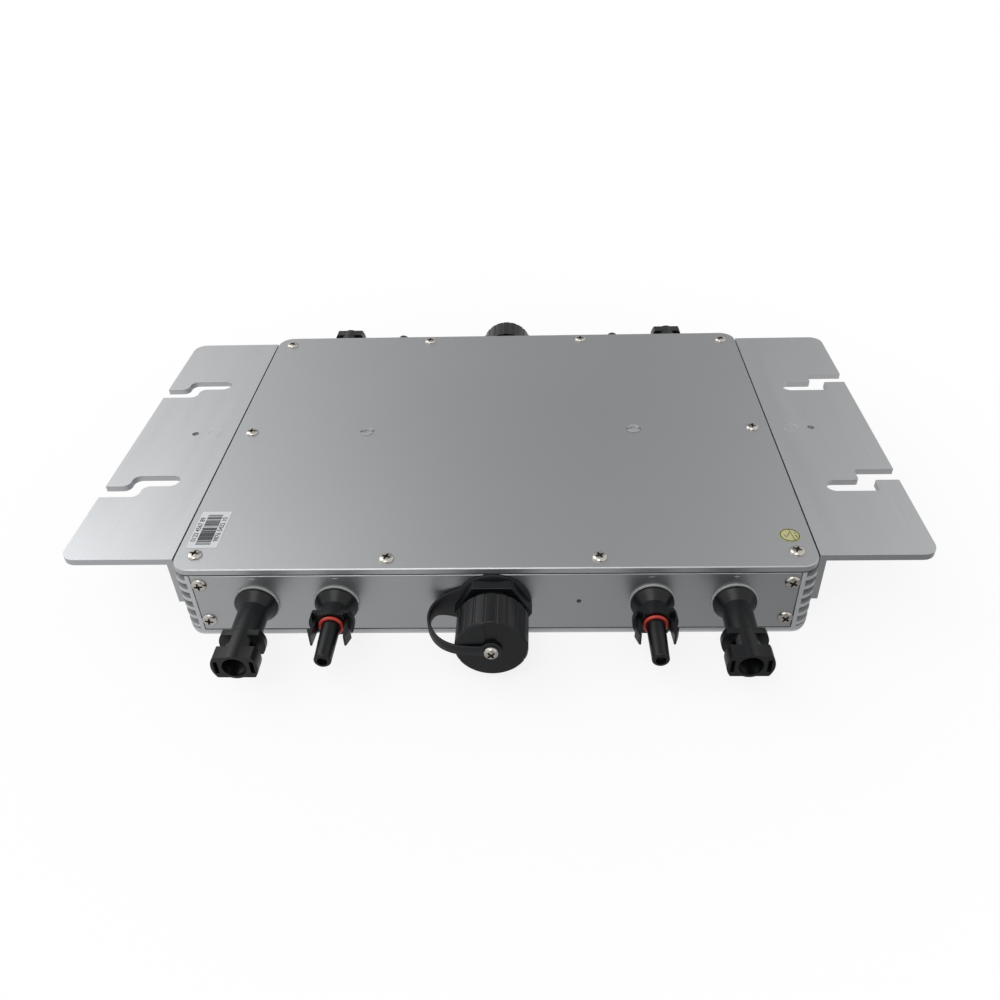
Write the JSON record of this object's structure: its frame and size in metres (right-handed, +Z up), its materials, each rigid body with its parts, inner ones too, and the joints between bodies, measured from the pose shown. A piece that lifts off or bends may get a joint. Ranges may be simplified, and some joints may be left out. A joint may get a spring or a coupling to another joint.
{
  "type": "micro inverter",
  "caption": "Flat sealed aluminium micro inverter with ribbed sides, slotted mounting brackets, and DC plugs, DC sockets and a capped AC connector on each end.",
  "frame": {"origin": "middle of the overall box's bottom face, under the middle of the case", "axes": "+X towards the right bracket, -Y out of the front end plate, +Z up through the cover"},
  "size_m": [0.365, 0.2806, 0.0382],
  "materials": {
    "case_aluminium": "satin anodised extrusion",
    "cover_aluminium": "satin silver anodised",
    "plate_aluminium": "satin anodised",
    "bracket_aluminium": "fine brushed, anodised",
    "screw_steel": "bright nickel plated",
    "standoff_steel": "plated",
    "connector_plastic": "black moulded, slight sheen",
    "strap_plastic": "black flexible moulding",
    "plug_plastic": "grey push-in plug",
    "ring_rubber": "red silicone",
    "seal_rubber": "pale grey silicone",
    "gasket_rubber": "black closed-cell rubber",
    "contact_metal": "tin plated",
    "strap_copper": "bare copper",
    "label_film": "white printed film",
    "sticker_film": "yellow-green printed film",
    "board_laminate": "green solder resist",
    "ferrite": "dull grey ferrite",
    "winding_copper": "enamelled copper",
    "can_aluminium": "bare can",
    "relay_plastic": "black moulded",
    "bar_aluminium": "bare",
    "chip_plastic": "black epoxy",
    "lamp_plastic": "clear lens, unlit"
  },
  "bodies": {
    "inverter": {"base_channel": "case_aluminium", "top_cover": "cover_aluminium", "front_end_plate": "plate_aluminium", "rear_end_plate": "plate_aluminium", "left_mounting_bracket": "bracket_aluminium", "right_mounting_bracket": "bracket_aluminium", "cover_screws": "screw_steel", "end_plate_screws": "screw_steel", "bracket_screws": "screw_steel", "board_screws": "screw_steel", "board_standoffs": "standoff_steel", "front_dc_socket_shells": "connector_plastic", "rear_dc_socket_shells": "connector_plastic", "front_dc_plug_shells": "connector_plastic", "rear_dc_plug_shells": "connector_plastic", "dc_lock_nuts": "connector_plastic", "ac_flange_nuts": "connector_plastic", "front_ac_receptacle": "connector_plastic", "rear_ac_receptacle": "connector_plastic", "ac_inserts": "connector_plastic", "front_tether_strap": "strap_plastic", "rear_tether_strap": "strap_plastic", "seal_plugs": "plug_plastic", "plug_o_rings": "ring_rubber", "connector_seals": "seal_rubber", "cover_gasket": "gasket_rubber", "dc_contacts": "contact_metal", "ac_contact_pins": "contact_metal", "contact_straps": "strap_copper", "barcode_label": "label_film", "inspection_sticker": "sticker_film", "main_circuit_board": "board_laminate", "control_board": "board_laminate", "transformer_cores": "ferrite", "filter_choke_cores": "ferrite", "transformer_windings": "winding_copper", "filter_choke_windings": "winding_copper", "input_capacitors": "can_aluminium", "grid_relays": "relay_plastic", "heat_spreader_bars": "bar_aluminium", "power_transistors": "chip_plastic", "controller_chips": "chip_plastic", "status_lamp": "lamp_plastic"},
    "front_left_plug_left_latch": {"front_left_plug_left_latch": "connector_plastic"},
    "front_left_plug_right_latch": {"front_left_plug_right_latch": "connector_plastic"},
    "front_right_plug_left_latch": {"front_right_plug_left_latch": "connector_plastic"},
    "front_right_plug_right_latch": {"front_right_plug_right_latch": "connector_plastic"},
    "front_tether_washer": {"front_tether_washer": "screw_steel"},
    "front_cap": {"front_ac_cap": "connector_plastic", "front_cap_seal": "seal_rubber", "front_cap_screw": "screw_steel"},
    "rear_left_plug_left_latch": {"rear_left_plug_left_latch": "connector_plastic"},
    "rear_left_plug_right_latch": {"rear_left_plug_right_latch": "connector_plastic"},
    "rear_right_plug_left_latch": {"rear_right_plug_left_latch": "connector_plastic"},
    "rear_right_plug_right_latch": {"rear_right_plug_right_latch": "connector_plastic"},
    "rear_tether_washer": {"rear_tether_washer": "screw_steel"},
    "rear_cap": {"rear_ac_cap": "connector_plastic", "rear_cap_seal": "seal_rubber", "rear_cap_screw": "screw_steel"}
  },
  "joints": [
    {"name": "front_left_plug_left_latch_flex", "type": "hinge", "parent": "inverter", "child": "front_left_plug_left_latch", "pos_m": [-0.0725, -0.1167, 0.0181], "axis": [0, 0, 1], "range_deg": [0, 10], "stiffness_Nm_per_rad": 0.02},
    {"name": "front_left_plug_right_latch_flex", "type": "hinge", "parent": "inverter", "child": "front_left_plug_right_latch", "pos_m": [-0.0595, -0.1167, 0.0181], "axis": [0, 0, -1], "range_deg": [0, 10], "stiffness_Nm_per_rad": 0.02},
    {"name": "front_right_plug_left_latch_flex", "type": "hinge", "parent": "inverter", "child": "front_right_plug_left_latch", "pos_m": [0.0595, -0.1167, 0.0181], "axis": [0, 0, 1], "range_deg": [0, 10], "stiffness_Nm_per_rad": 0.02},
    {"name": "front_right_plug_right_latch_flex", "type": "hinge", "parent": "inverter", "child": "front_right_plug_right_latch", "pos_m": [0.0725, -0.1167, 0.0181], "axis": [0, 0, -1], "range_deg": [0, 10], "stiffness_Nm_per_rad": 0.02},
    {"name": "front_cap_back_off", "type": "slide", "parent": "inverter", "child": "front_tether_washer", "axis": [0, -1, 0], "range_m": [0, 0.0075], "deforming": ["front_tether_strap"]},
    {"name": "front_cap_turn", "type": "hinge", "parent": "front_tether_washer", "child": "front_cap", "pos_m": [0, -0.127, 0.0181], "axis": [0, -1, 0], "range_deg": [0, 1080]},
    {"name": "rear_left_plug_left_latch_flex", "type": "hinge", "parent": "inverter", "child": "rear_left_plug_left_latch", "pos_m": [-0.0725, 0.1167, 0.0181], "axis": [0, 0, -1], "range_deg": [0, 10], "stiffness_Nm_per_rad": 0.02},
    {"name": "rear_left_plug_right_latch_flex", "type": "hinge", "parent": "inverter", "child": "rear_left_plug_right_latch", "pos_m": [-0.0595, 0.1167, 0.0181], "axis": [0, 0, 1], "range_deg": [0, 10], "stiffness_Nm_per_rad": 0.02},
    {"name": "rear_right_plug_left_latch_flex", "type": "hinge", "parent": "inverter", "child": "rear_right_plug_left_latch", "pos_m": [0.0595, 0.1167, 0.0181], "axis": [0, 0, -1], "range_deg": [0, 10], "stiffness_Nm_per_rad": 0.02},
    {"name": "rear_right_plug_right_latch_flex", "type": "hinge", "parent": "inverter", "child": "rear_right_plug_right_latch", "pos_m": [0.0725, 0.1167, 0.0181], "axis": [0, 0, 1], "range_deg": [0, 10], "stiffness_Nm_per_rad": 0.02},
    {"name": "rear_cap_back_off", "type": "slide", "parent": "inverter", "child": "rear_tether_washer", "axis": [0, 1, 0], "range_m": [0, 0.0075], "deforming": ["rear_tether_strap"]},
    {"name": "rear_cap_turn", "type": "hinge", "parent": "rear_tether_washer", "child": "rear_cap", "pos_m": [0, 0.127, 0.0181], "axis": [0, 1, 0], "range_deg": [0, 1080]}
  ],
  "couplings": [
    {"joint": "front_cap_turn", "follows": "front_cap_back_off", "rad_per_m": 2513.2},
    {"joint": "rear_cap_turn", "follows": "rear_cap_back_off", "rad_per_m": 2513.2}
  ]
}
